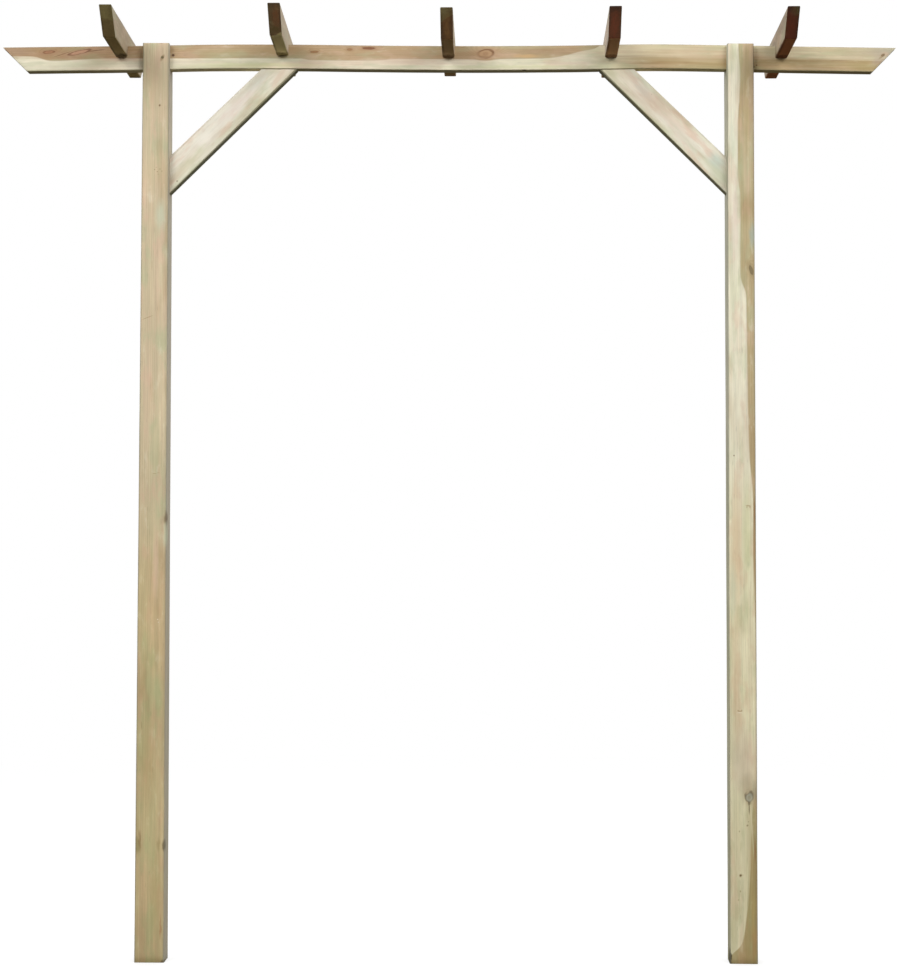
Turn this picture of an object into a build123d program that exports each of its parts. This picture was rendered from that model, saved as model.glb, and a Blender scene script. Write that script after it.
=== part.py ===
from build123d import *
import os

# Garden pergola arch: two square posts, one beam housed in their forked tops,
# five short rafters halved over the beam and two diagonal braces.
# Millimetres, +Z up, X along the beam, -Y is the front.
# The origin is the middle of the left post's foot, on the level of the feet.

# ---- driving dimensions ----------------------------------------------------
POST_SECTION = 70.0        # square post
POST_HEIGHT = 2400.0       # foot to top
POST_SPACING = 1538.0      # centre to centre

TIMBER_THICKNESS = 32.0    # beam, rafters and braces are one stock, 32 x 66
TIMBER_DEPTH = 66.0

BEAM_LENGTH = 2360.0       # along its top edge
BEAM_END_CUT = 45.0        # degrees, the lower edge is the shorter one

RAFTER_LENGTH = 555.0      # along its top edge, front to back
RAFTER_END_CUT = 45.0
RAFTER_NOTCH = 33.0        # half of the rafter's depth, so it drops over the beam
# rafter centres, measured from the middle between the posts
RAFTER_X = (-862.0, -439.5, 1.0, 429.0, 879.0)

BRACE_LEG = 331.0          # along post and beam, from their inner corner

# ---- derived ---------------------------------------------------------------
MID_X = POST_SPACING / 2.0
BEAM_TOP = POST_HEIGHT
BEAM_BOTTOM = BEAM_TOP - TIMBER_DEPTH
HALF_T = TIMBER_THICKNESS / 2.0
HALF_POST = POST_SECTION / 2.0
FACE_LEFT = HALF_POST                    # left post's inner face
FACE_RIGHT = POST_SPACING - HALF_POST    # right post's inner face
BRACE_ACROSS = TIMBER_DEPTH * 2.0 ** 0.5  # the 45 degree brace's width along a leg

os.makedirs("parts", exist_ok=True)


def box(x0, x1, y0, y1, z0, z1):
    return Pos((x0 + x1) / 2.0, (y0 + y1) / 2.0, (z0 + z1) / 2.0) * Box(
        x1 - x0, y1 - y0, z1 - z0)


def prism_xz(points, y0, y1):
    """A closed outline in the XZ plane, run from y0 to y1."""
    wire = Polyline(*[(x, 0.0, z) for x, z in points], close=True)
    face = make_face(wire)
    solid = extrude(face, amount=y1 - y0, dir=(0, 1, 0))
    return Pos(0, y0, 0) * solid


def prism_yz(points, x0, x1):
    """A closed outline in the YZ plane, run from x0 to x1."""
    wire = Polyline(*[(0.0, y, z) for y, z in points], close=True)
    face = make_face(wire)
    solid = extrude(face, amount=x1 - x0, dir=(1, 0, 0))
    return Pos(x0, 0, 0) * solid


def write(shape, name):
    solid = shape.solids()[0]
    solid.label = name
    export_step(solid, "parts/" + name + ".step")


# ---- posts: a slot in the top carries the beam between two cheeks ----------
def post(xc):
    body = box(xc - HALF_POST, xc + HALF_POST, -HALF_POST, HALF_POST,
               0.0, POST_HEIGHT)
    slot = box(xc - HALF_POST - 5, xc + HALF_POST + 5, -HALF_T, HALF_T,
               BEAM_BOTTOM, POST_HEIGHT + 5)
    return body - slot


write(post(0.0), "post_left")
write(post(POST_SPACING), "post_right")

# ---- beam: on edge through both slots, its ends cut back underneath --------
cut = TIMBER_DEPTH  # 45 degrees: the lower edge starts this much further in
beam_l = MID_X - BEAM_LENGTH / 2.0
beam_r = MID_X + BEAM_LENGTH / 2.0
beam = prism_xz(
    [(beam_l, BEAM_TOP), (beam_r, BEAM_TOP),
     (beam_r - cut, BEAM_BOTTOM), (beam_l + cut, BEAM_BOTTOM)],
    -HALF_T, HALF_T)
write(beam, "beam")

# ---- rafters: halved over the beam -----------------------------------------
rafter_top = BEAM_TOP + (TIMBER_DEPTH - RAFTER_NOTCH)
rafter_bottom = rafter_top - TIMBER_DEPTH
for i, dx in enumerate(RAFTER_X, start=1):
    xc = MID_X + dx
    h = RAFTER_LENGTH / 2.0
    outline = [
        (-h, rafter_top), (h, rafter_top),
        (h - TIMBER_DEPTH, rafter_bottom), (HALF_T, rafter_bottom),
        (HALF_T, BEAM_TOP), (-HALF_T, BEAM_TOP),
        (-HALF_T, rafter_bottom), (-h + TIMBER_DEPTH, rafter_bottom),
    ]
    write(prism_yz(outline, xc - HALF_T, xc + HALF_T), "rafter_%d" % i)

# ---- braces: mitred at 45 degrees to the post's face and the beam's edge ---
left = [
    (FACE_LEFT, BEAM_BOTTOM - BRACE_LEG),
    (FACE_LEFT + BRACE_LEG, BEAM_BOTTOM),
    (FACE_LEFT + BRACE_LEG - BRACE_ACROSS, BEAM_BOTTOM),
    (FACE_LEFT, BEAM_BOTTOM - BRACE_LEG + BRACE_ACROSS),
]
right = [(POST_SPACING - x, z) for x, z in left]
write(prism_xz(left, -HALF_T, HALF_T), "brace_left")
write(prism_xz(right, -HALF_T, HALF_T), "brace_right")

print("rafter spacing", [round(b - a, 1) for a, b in zip(RAFTER_X, RAFTER_X[1:])])
print("clear width", FACE_RIGHT - FACE_LEFT, "clear height", BEAM_BOTTOM)
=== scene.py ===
import math
import bmesh
import bpy
import numpy as np
from mathutils import Matrix, Vector, noise

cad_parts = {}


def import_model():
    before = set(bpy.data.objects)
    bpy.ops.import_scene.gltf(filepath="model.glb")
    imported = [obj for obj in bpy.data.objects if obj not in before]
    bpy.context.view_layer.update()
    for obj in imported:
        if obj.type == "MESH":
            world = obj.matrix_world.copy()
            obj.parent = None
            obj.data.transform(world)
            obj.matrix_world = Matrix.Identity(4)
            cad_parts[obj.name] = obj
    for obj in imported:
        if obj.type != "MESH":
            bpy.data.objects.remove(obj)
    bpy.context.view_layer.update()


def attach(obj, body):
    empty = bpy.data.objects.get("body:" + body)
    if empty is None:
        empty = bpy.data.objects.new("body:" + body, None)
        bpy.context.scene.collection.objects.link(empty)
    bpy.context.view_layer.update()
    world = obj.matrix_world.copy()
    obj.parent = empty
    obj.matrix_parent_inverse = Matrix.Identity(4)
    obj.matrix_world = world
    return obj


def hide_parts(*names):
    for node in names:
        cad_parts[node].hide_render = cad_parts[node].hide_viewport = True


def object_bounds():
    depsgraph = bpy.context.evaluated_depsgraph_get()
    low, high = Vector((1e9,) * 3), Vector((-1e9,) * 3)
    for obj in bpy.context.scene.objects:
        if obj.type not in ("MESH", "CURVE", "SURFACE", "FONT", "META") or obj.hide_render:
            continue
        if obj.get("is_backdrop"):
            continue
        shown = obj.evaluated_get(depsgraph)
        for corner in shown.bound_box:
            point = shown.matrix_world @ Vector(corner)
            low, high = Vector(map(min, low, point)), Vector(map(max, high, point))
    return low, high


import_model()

scene = bpy.context.scene

# Everything is in metres. Each timber has its own grain frame, kept on the
# mesh as the attribute "tl": x across the show face, y through the thickness
# (the show face is at -y), z along the grain.

POST = 0.070
POST_H = 2.400
SPACING = 1.538
MID = SPACING / 2
THICK = 0.032
DEEP = 0.066
BEAM_L = 2.360
RAFTER_L = 0.555
LEG = 0.331

# What the planed timbers measure today: a little under or over the stock size.
BEAM_H, BEAM_T = 0.0654, 0.0312
RAFTER_H, RAFTER_T = 0.0668, 0.0318
BRACE_T = 0.0312
BEAM_Z = POST_H - 0.0004 - BEAM_H / 2          # middle of the beam's depth
# how far the beam has bowed, in mm, against x in the row frame
BOW = ((-0.451, -6.9), (-0.411, -6.6), (-0.240, -4.5), (-0.040, -1.9), (0.160, 1.6),
       (0.360, 1.7), (0.560, -0.4), (0.728, -1.6), (0.900, -1.6), (1.100, 0.1),
       (1.300, 3.4), (1.498, 1.2), (1.700, -2.2), (1.850, -4.3), (1.949, -5.6))
# middle, lift, tilt (up at the back) and turn of each rafter, from its nominal place
RAFTER_SITS = ((-0.8620, 0.00043, -0.0091, -0.0051), (-0.4370, 0.00486, -0.0087, -0.0071),
               (0.0013, 0.00069, 0.0165, -0.0178), (0.4303, 0.00030, 0.0010, -0.0285),
               (0.8793, -0.00055, -0.0029, -0.0301))

POSTS = ("post_left", "post_right")
BRACES = ("brace_left", "brace_right")
RAFTERS = tuple("rafter_%d" % i for i in range(1, 6))


# ---------------------------------------------------------------------------
# meshes
# ---------------------------------------------------------------------------
def evaluated(obj):
    """The object's mesh with its modifiers applied, as a new mesh."""
    dg = bpy.context.evaluated_depsgraph_get()
    dg.update()
    return bpy.data.meshes.new_from_object(obj.evaluated_get(dg))


def link(obj):
    scene.collection.objects.link(obj)
    return obj


def scratch(mesh, name="scratch"):
    return link(bpy.data.objects.new(name, mesh))


def drop(obj):
    mesh = obj.data
    bpy.data.objects.remove(obj)
    if mesh.users == 0:
        bpy.data.meshes.remove(mesh)


def prism(outline, half, across):
    """A closed outline of (a, z) points, run from -half to +half along the
    other cross axis. across is the axis, 0 or 1, that a lies on."""
    bm = bmesh.new()
    ring = {}
    for s in (-1, 1):
        vs = []
        for a, z in outline:
            co = [0.0, 0.0, z]
            co[across] = a
            co[1 - across] = s * half
            vs.append(bm.verts.new(co))
        ring[s] = vs
        bm.faces.new(vs)
    n = len(outline)
    for i in range(n):
        j = (i + 1) % n
        bm.faces.new((ring[-1][i], ring[-1][j], ring[1][j], ring[1][i]))
    bmesh.ops.recalc_face_normals(bm, faces=bm.faces)
    return bm


def eased(bm, arris, sawn, inner=()):
    """Rounds the long arrises by arris and every sawn edge by sawn. Edges at
    an inner corner stay sharp."""
    layer = bm.edges.layers.float.new("bevel_weight_edge")
    for e in bm.edges:
        if len(e.link_faces) != 2:
            continue
        if not e.is_convex:
            e[layer] = 0.0
            continue
        d = (e.verts[1].co - e.verts[0].co).normalized()
        e[layer] = 1.0 if abs(d.z) > 0.99 else sawn / arris
        mid = (e.verts[0].co + e.verts[1].co) / 2
        for test in inner:
            if test(mid, d):
                e[layer] = sawn / arris
    mesh = bpy.data.meshes.new("rough")
    bm.to_mesh(mesh)
    bm.free()
    obj = scratch(mesh)
    m = obj.modifiers.new("ease", "BEVEL")
    m.limit_method = "WEIGHT"
    m.width = arris
    m.segments = 3
    m.profile = 0.5
    m.use_clamp_overlap = True
    out = evaluated(obj)
    drop(obj)
    bm = bmesh.new()
    bm.from_mesh(out)
    bpy.data.meshes.remove(out)
    return bm


def slice_at(bm, axis, value):
    no = Vector((0, 0, 0))
    no[axis] = 1
    co = Vector((0, 0, 0))
    co[axis] = value
    geom = bm.verts[:] + bm.edges[:] + bm.faces[:]
    bmesh.ops.bisect_plane(bm, geom=geom, dist=1e-6, plane_co=co, plane_no=no)


def station(bm, pitch, breaks=()):
    """Cuts the long quads across the grain every pitch or so, with the same
    count for all edges that lie between the same two breaks."""
    groups = {}
    for e in bm.edges:
        d = e.verts[1].co - e.verts[0].co
        if d.length < 0.012 or abs(d.z) < 0.7 * d.length:
            continue
        mid = (e.verts[0].co.z + e.verts[1].co.z) / 2
        key = sum(1 for b in breaks if mid > b)
        groups.setdefault(key, []).append(e)
    for key, edges in groups.items():
        longest = max(e.calc_length() for e in edges)
        cuts = max(1, int(round(longest / pitch)) - 1)
        bmesh.ops.subdivide_edges(bm, edges=edges, cuts=cuts, use_grid_fill=True)


def cut_with(mesh, cutters):
    """mesh with the cutter objects taken out of it."""
    if not cutters:
        return mesh
    obj = scratch(mesh)
    for c in cutters:
        m = obj.modifiers.new("cut", "BOOLEAN")
        m.operation = "DIFFERENCE"
        m.solver = "EXACT"
        m.object = c
    out = evaluated(obj)
    drop(obj)
    for c in cutters:
        drop(c)
    return out


def lathe(profile, steps=24):
    """A closed solid of revolution round z from (radius, z) points, both ends
    on the axis."""
    bm = bmesh.new()
    rings = []
    for r, z in profile:
        if r < 1e-7:
            rings.append([bm.verts.new((0, 0, z))])
        else:
            rings.append([
                bm.verts.new((r * math.cos(2 * math.pi * k / steps),
                              r * math.sin(2 * math.pi * k / steps), z))
                for k in range(steps)])
    for a, b in zip(rings, rings[1:]):
        for k in range(steps):
            j = (k + 1) % steps
            if len(a) == 1:
                bm.faces.new((a[0], b[k], b[j]))
            elif len(b) == 1:
                bm.faces.new((a[k], b[0], a[j]))
            else:
                bm.faces.new((a[k], b[k], b[j], a[j]))
    bmesh.ops.recalc_face_normals(bm, faces=bm.faces)
    return bm


def turned_to(direction, at):
    """A matrix that puts z along direction and the origin at a point."""
    q = Vector(direction).normalized().to_track_quat("Z", "Y")
    return Matrix.Translation(at) @ q.to_matrix().to_4x4()


SINK_R, SINK_D = 0.0039, 0.0010    # countersunk dimple of a screw


def dimple(at, normal):
    bm = lathe([(0, -0.0045), (0.0022, -0.0045), (SINK_R, -SINK_D),
                (SINK_R, 0.002), (0, 0.002)], 24)
    mesh = bpy.data.meshes.new("dimple")
    bm.to_mesh(mesh)
    bm.free()
    mesh.transform(turned_to(normal, at))
    return scratch(mesh)


def wobble(p, scale, seed):
    return noise.noise(Vector((p[0] * scale[0] + seed, p[1] * scale[1] - seed,
                               p[2] * scale[2] + 2 * seed)))


def finish_timber(name, mesh, half_u, half_v, place, seed, warp=None, ripple=0.00018,
                  arris=0.003):
    """Stores the grain frame, adds the planed surface's small waves and worn
    arrises, bends the piece if it has a bow, and puts it in the row frame."""
    n = len(mesh.vertices)
    co = np.empty(n * 3)
    mesh.vertices.foreach_get("co", co)
    co = co.reshape(-1, 3)
    tl = mesh.attributes.new("tl", "FLOAT_VECTOR", "POINT")
    tl.data.foreach_set("vector", co.astype(np.float32).ravel())
    # how near an arris: 1 on the rounded corner itself, 0 a few mm away
    du = half_u - np.abs(co[:, 0])
    dv = half_v - np.abs(co[:, 1])
    near = np.clip(1 - np.maximum(du, dv) / (arris * 1.25), 0, 1)
    ar = mesh.attributes.new("arris", "FLOAT", "POINT")
    ar.data.foreach_set("value", near.astype(np.float32))
    out = co.copy()
    for i in range(n):
        p = co[i]
        w = wobble(p, (9.0, 9.0, 3.0), seed) * ripple
        w += wobble(p, (60.0, 60.0, 14.0), seed + 7.3) * ripple * 0.45
        if near[i] > 0:
            chip = wobble(p, (25.0, 25.0, 38.0), seed + 31.7)
            w -= near[i] * (0.00035 * (1 + wobble(p, (5, 5, 9.0), seed + 3.1))
                            + 0.0016 * max(0.0, chip - 0.42))
        su = max(-1.0, min(1.0, p[0] / half_u)) ** 7
        sv = max(-1.0, min(1.0, p[1] / half_v)) ** 7
        out[i, 0] += w * su
        out[i, 1] += w * sv
    if warp is not None:
        out = warp(out)
    mesh.vertices.foreach_set("co", out.ravel())
    mesh.transform(place)
    for p in mesh.polygons:
        p.use_smooth = True
    mesh.set_sharp_from_angle(angle=math.radians(38))
    mesh.update()
    mesh.name = name
    return mesh


def add_piece(name, mesh, node, material):
    obj = bpy.data.objects.new(name, mesh)
    link(obj)
    mesh.materials.clear()
    mesh.materials.append(material)
    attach(obj, "root")
    if node:
        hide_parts(node)
    return obj


# ---------------------------------------------------------------------------
# materials
# ---------------------------------------------------------------------------
class Nodes:
    """Short forms for building one material's node tree."""

    def __init__(self, tree):
        self.t = tree

    def new(self, kind, **values):
        n = self.t.nodes.new(kind)
        for k, v in values.items():
            setattr(n, k, v)
        return n

    def to(self, socket, value):
        if isinstance(value, bpy.types.NodeSocket):
            self.t.links.new(value, socket)
        elif value is not None:
            socket.default_value = value

    def math(self, op, a, b=None, c=None, clamp=False):
        n = self.new("ShaderNodeMath", operation=op, use_clamp=clamp)
        for s, v in zip(n.inputs, (a, b, c)):
            self.to(s, v)
        return n.outputs[0]

    def add(self, a, b): return self.math("ADD", a, b)
    def sub(self, a, b): return self.math("SUBTRACT", a, b)
    def mul(self, a, b): return self.math("MULTIPLY", a, b)
    def mad(self, a, b, c): return self.math("MULTIPLY_ADD", a, b, c)
    def top(self, a, b): return self.math("MAXIMUM", a, b)

    def vec(self, x, y, z):
        n = self.new("ShaderNodeCombineXYZ")
        for s, v in zip(n.inputs, (x, y, z)):
            self.to(s, v)
        return n.outputs[0]

    def parts(self, v):
        n = self.new("ShaderNodeSeparateXYZ")
        self.to(n.inputs[0], v)
        return n.outputs

    def vmath(self, op, a, b=None):
        n = self.new("ShaderNodeVectorMath", operation=op)
        self.to(n.inputs[0], a)
        if b is not None:
            self.to(n.inputs[1], b)
        return n

    def stretch(self, v, scale, shift=(0, 0, 0)):
        n = self.new("ShaderNodeMapping", vector_type="POINT")
        self.to(n.inputs[0], v)
        n.inputs["Location"].default_value = shift
        n.inputs["Scale"].default_value = scale
        return n.outputs[0]

    def noise(self, v, detail=2.0, rough=0.5, distort=0.0):
        n = self.new("ShaderNodeTexNoise", noise_dimensions="3D")
        self.to(n.inputs["Vector"], v)
        n.inputs["Scale"].default_value = 1.0
        n.inputs["Detail"].default_value = detail
        n.inputs["Roughness"].default_value = rough
        n.inputs["Distortion"].default_value = distort
        return n

    def ramp(self, x, lo, hi, a=0.0, b=1.0, smooth=True):
        n = self.new("ShaderNodeMapRange", clamp=True,
                     interpolation_type="SMOOTHSTEP" if smooth else "LINEAR")
        self.to(n.inputs["Value"], x)
        n.inputs["From Min"].default_value = lo
        n.inputs["From Max"].default_value = hi
        n.inputs["To Min"].default_value = a
        n.inputs["To Max"].default_value = b
        return n.outputs[0]

    def mix(self, f, a, b, blend="MIX"):
        n = self.new("ShaderNodeMix", data_type="RGBA", blend_type=blend,
                     clamp_factor=True)
        self.to(n.inputs[0], f)
        for s, v in ((n.inputs[6], a), (n.inputs[7], b)):
            if isinstance(v, (tuple, list)):
                v = tuple(v) + (1.0,) * (4 - len(v))
            self.to(s, v)
        return n.outputs[2]

    def curve(self, x, points, smooth=True):
        """A float curve through (x, y) points in 0..1."""
        n = self.new("ShaderNodeFloatCurve")
        self.to(n.inputs["Value"], x)
        c = n.mapping.curves[0]
        n.mapping.extend = "HORIZONTAL"
        pts = sorted(points)
        while len(c.points) < len(pts):
            c.points.new(0.5, 0.5)
        for p, (a, b) in zip(c.points, pts):
            p.location = (a, b)
            p.handle_type = "AUTO_CLAMPED" if smooth else "VECTOR"
        n.mapping.update()
        return n.outputs[0]

    def spot(self, p, at, radii, turn=0.0, soft=0.35):
        """(mask, distance) of an ellipsoid in the grain frame, turned about
        the thickness axis. The distance is 1 on its skin."""
        m = self.new("ShaderNodeMapping", vector_type="TEXTURE")
        self.to(m.inputs[0], p)
        m.inputs["Location"].default_value = at
        m.inputs["Rotation"].default_value = (0, turn, 0)
        m.inputs["Scale"].default_value = radii
        d = self.vmath("LENGTH", m.outputs[0]).outputs["Value"]
        return self.ramp(d, 1.0 + soft, 1.0 - soft, 0.0, 1.0), d


def srgb(r, g, b):
    def f(c):
        c /= 255.0
        return c / 12.92 if c <= 0.04045 else ((c + 0.055) / 1.055) ** 2.4
    return (f(r), f(g), f(b))


SAP = srgb(228, 217, 190)
SAP_LATE = srgb(208, 190, 152)
HEART = srgb(193, 172, 136)
HEART_LATE = srgb(160, 130, 90)
GREEN = srgb(184, 190, 152)
PINK = srgb(216, 184, 160)
PALE = srgb(232, 226, 206)
BROWN = srgb(170, 138, 98)
GREY = srgb(136, 131, 114)
DARK = srgb(58, 40, 22)
END = srgb(120, 92, 54)


def timber(name, seed, pith, ring=0.0032, wander=0.010, axis=(0, 0, 1),
           sap=SAP, sap_late=SAP_LATE, heart=HEART, heart_late=HEART_LATE,
           heart_mask=None, heart_all=0.0, contrast=0.55, tint=0.35,
           tone_and_shade=None, length=(0.0, 1.0), knots=(), marks=(), patches=(),
           end=END, end_mix=0.65, half=(0.035, 0.035), grey=0.45, fibre=1.0,
           mottle=1.0, washes_and_shade=(), edges=(), side_colour_and_painted_light=(), end_split=None, end_spots=()):
    """Planed softwood cut from a log whose pith runs through pith = (x, y,
    dx/dz, dy/dz) of the grain frame."""
    mat = bpy.data.materials.new(name)
    mat.use_nodes = True
    t = mat.node_tree
    t.nodes.clear()
    g = Nodes(t)
    p = g.new("ShaderNodeAttribute", attribute_type="GEOMETRY",
              attribute_name="tl").outputs["Vector"]
    u, v, w = g.parts(p)
    s = seed * 3.71

    # growth rings round a wandering pith
    n1 = g.noise(g.stretch(p, (3.0, 3.0, 1.7), (s, -s, s)), 2.0, 0.45)
    off = g.vmath("SUBTRACT", n1.outputs["Color"], (0.5, 0.5, 0.5))
    ox, oy, oz = g.parts(off.outputs[0])
    uu = g.sub(g.sub(u, pith[0]), g.mul(w, pith[2]))
    vv = g.sub(g.sub(v, pith[1]), g.mul(w, pith[3]))
    uu = g.mad(ox, wander * 2, uu)
    vv = g.mad(oy, wander * 2, vv)
    r = g.math("SQRT", g.add(g.mul(uu, uu), g.mul(vv, vv)))
    knot_parts = []
    # spots are a little irregular, not true ellipses
    rag = g.noise(g.stretch(p, (110, 110, 45), (s, 6, 6)), 2.0, 0.5).outputs["Color"]
    rag = g.vmath("SUBTRACT", rag, (0.5, 0.5, 0.5)).outputs[0]
    rag_p = g.vmath("MULTIPLY", rag, (0.010, 0.0, 0.022)).outputs[0]
    ragged = g.vmath("ADD", p, rag_p).outputs[0]
    rag_k = g.vmath("MULTIPLY", rag, (0.0038, 0.0, 0.0075)).outputs[0]
    knotty = g.vmath("ADD", p, rag_k).outputs[0]
    for k in knots:
        at, radii = k["at"], k["r"]
        mask, d = g.spot(knotty, at, radii, k.get("turn", 0.0), 0.14)
        knot_parts.append((k, mask, d))
        near = g.ramp(d, 3.2, 0.9)
        r = g.mad(near, -k.get("flow", 0.010), r)
    fine = g.noise(g.stretch(p, (40, 40, 5), (s, s, 0)), 1.0).outputs["Fac"]
    phase = g.mad(r, 1.0 / ring, g.mul(fine, 0.5))
    f = g.math("FRACT", phase)
    late = g.curve(f, [(0.0, 0.10), (0.06, 0.0), (0.45, 0.12), (0.78, 0.62),
                       (0.93, 1.0), (1.0, 0.25)])
    # each year's ring has its own strength
    year = g.noise(g.vec(g.mul(g.math("FLOOR", phase), 0.37), s, 0.0), 0.0)
    late = g.mul(late, g.ramp(year.outputs["Fac"], 0.3, 0.7, 0.45, 1.0))
    late = g.mul(late, contrast)

    # sapwood and heartwood
    if heart_mask is not None:
        hm = heart_mask(g, p, u, v, w)
        if heart_all:
            hm = g.math("MAXIMUM", hm, heart_all)
    else:
        hm = heart_all
    early_c = g.mix(hm, sap, heart)
    late_c = g.mix(hm, sap_late, heart_late)
    col = g.mix(late, early_c, late_c)

    # soft tints of the treatment and the wood: long streaks and rounder clouds
    b1 = g.noise(g.stretch(p, (24, 24, 3.0), (s + 5, s, 2)), 2.0).outputs["Fac"]
    b2 = g.noise(g.stretch(p, (36, 36, 2.4), (s, 9, s)), 2.0).outputs["Fac"]
    b3 = g.noise(g.stretch(p, (7, 7, 2.6), (1, s, 4)), 1.0).outputs["Fac"]
    m1 = g.noise(g.stretch(p, (42, 42, 13), (s, 3, 7)), 3.0, 0.55).outputs["Fac"]
    m2 = g.noise(g.stretch(p, (34, 34, 9), (2, s, s)), 3.0, 0.55).outputs["Fac"]
    m3 = g.noise(g.stretch(p, (64, 64, 20), (s, 8, s)), 3.0, 0.6).outputs["Fac"]
    m4 = g.noise(g.stretch(p, (20, 20, 4.5), (6, s, 1)), 2.0, 0.5).outputs["Fac"]
    col = g.mix(g.mul(g.ramp(b1, 0.48, 0.72), tint), col, GREEN)
    col = g.mix(g.mul(g.ramp(b2, 0.50, 0.75), tint * 0.9), col, PINK)
    col = g.mix(g.mul(g.ramp(m1, 0.50, 0.68), tint * mottle * 0.85), col, PINK)
    col = g.mix(g.mul(g.ramp(m2, 0.51, 0.69), tint * mottle * 0.95), col, GREEN)
    col = g.mix(g.mul(g.ramp(m4, 0.52, 0.74), tint * mottle * 0.75), col, BROWN)
    col = g.mix(g.mul(g.ramp(m3, 0.56, 0.74), tint * mottle * 0.6), col, PALE)
    shade = g.ramp(b3, 0.25, 0.75, 0.93, 1.05, smooth=False)
    shade = g.mul(shade, g.ramp(m3, 0.25, 0.6, 1 - 0.06 * mottle, 1.0, smooth=False))

    # fibres
    f1 = g.noise(g.stretch(p, (900, 900, 14), (s, 0, s)), 2.0, 0.6).outputs["Fac"]
    f2 = g.noise(g.stretch(p, (260, 260, 5.5), (0, s, s)), 2.0, 0.55).outputs["Fac"]
    f3 = g.noise(g.stretch(p, (95, 95, 2.4), (s, s, 3)), 2.0, 0.5).outputs["Fac"]
    fib = g.add(g.ramp(f1, 0.3, 0.7, -0.035 * fibre, 0.035 * fibre, smooth=False),
                g.ramp(f2, 0.3, 0.7, -0.035 * fibre, 0.035 * fibre, smooth=False))
    fib = g.add(fib, g.ramp(f3, 0.3, 0.7, -0.045 * fibre, 0.045 * fibre, smooth=False))
    shade = g.mul(shade, g.add(fib, 1.0))
    # short resin ducts, thin dark dashes along the grain
    duct = g.noise(g.stretch(p, (520, 520, 34), (s, 4, s)), 0.0).outputs["Fac"]
    shade = g.mul(shade, g.ramp(duct, 0.72, 0.80, 1.0, 0.88))
    wn = g.ramp(w, length[0], length[1], 0.0, 1.0, smooth=False)
    # the tone curve along the length: on the posts it is partly the wood's own tone and partly painted
    # shade, darker towards the foot
    if tone_and_shade is not None:
        shade = g.mul(shade, g.mul(g.curve(wn, tone_and_shade), 1.25))
    col = g.mix(1.0, col, g.vec(shade, shade, shade), "MULTIPLY")
    # washes multiply colour along and across the length: on the posts they are partly the wood's own colour
    # and partly painted shade, darker and yellower towards the foot
    for a in washes_and_shade:
        f = g.curve(wn, a["along"]) if "along" in a else 1.0
        if "across" in a:
            lo_, hi_ = a["across"]
            f = g.mul(f, g.ramp(u, lo_, hi_))
        col = g.mix(g.mul(f, a.get("mix", 1.0)), col, a["c"], a.get("blend", "MULTIPLY"))
    # duller bands beside the arrises, and the faces round the corner: their colour is partly the wood's own
    # and partly painted light and shade, with most undersides and inner sides darkened as painted shade and
    # the rafter undersides lifted as painted light
    for sign, width, mix_, c in edges:
        band = g.ramp(g.mul(u, sign), half[0] - width, half[0] - 0.0006)
        lump = g.ramp(g.noise(g.stretch(p, (30, 30, 7), (s, sign, 5)), 2.0).outputs["Fac"],
                      0.3, 0.65, 0.45, 1.0)
        col = g.mix(g.mul(g.mul(band, lump), mix_), col, c)
    # painted light and shade: whole side faces take a colour by which way they face
    for sign, mix_, c in side_colour_and_painted_light:
        face = g.ramp(g.mul(u, sign), half[0] - 0.0022, half[0] - 0.0007)
        col = g.mix(g.mul(face, mix_), col, c)

    # coloured patches, then knots, then small marks
    for a in patches:
        mask, d = g.spot(ragged, a["at"], a["r"], a.get("turn", 0.0), a.get("soft", 0.6))
        col = g.mix(g.mul(mask, a.get("mix", 0.5)), col, a["c"],
                    a.get("blend", "MIX"))
    knot_bump = None
    for k, mask, d in knot_parts:
        rings = g.math("SINE", g.mul(d, k.get("turns", 17.0)))
        inner = g.mix(g.ramp(rings, -1, 1, 0.0, 0.55), k.get("c", srgb(120, 84, 48)),
                      k.get("c2", srgb(84, 56, 30)))
        col = g.mix(g.mul(mask, k.get("mix", 0.85)), col, inner)
        rim = g.mul(g.ramp(d, 0.72, 0.98), g.ramp(d, 1.25, 1.02))
        rim = g.mul(rim, g.ramp(m2, 0.36, 0.58, 0.25, 1.0))
        col = g.mix(g.mul(rim, k.get("rim", 0.6)), col, k.get("rim_c", DARK))
        halo = g.mul(g.ramp(d, 2.6, 1.0), k.get("halo", 0.25))
        col = g.mix(halo, col, k.get("halo_c", srgb(150, 108, 62)))
        knot_bump = mask if knot_bump is None else g.top(knot_bump, mask)
    for a in marks:
        mask, d = g.spot(p, a["at"], a["r"], a.get("turn", 0.0), a.get("soft", 0.4))
        col = g.mix(g.mul(mask, a.get("mix", 0.8)), col, a.get("c", DARK))

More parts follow.
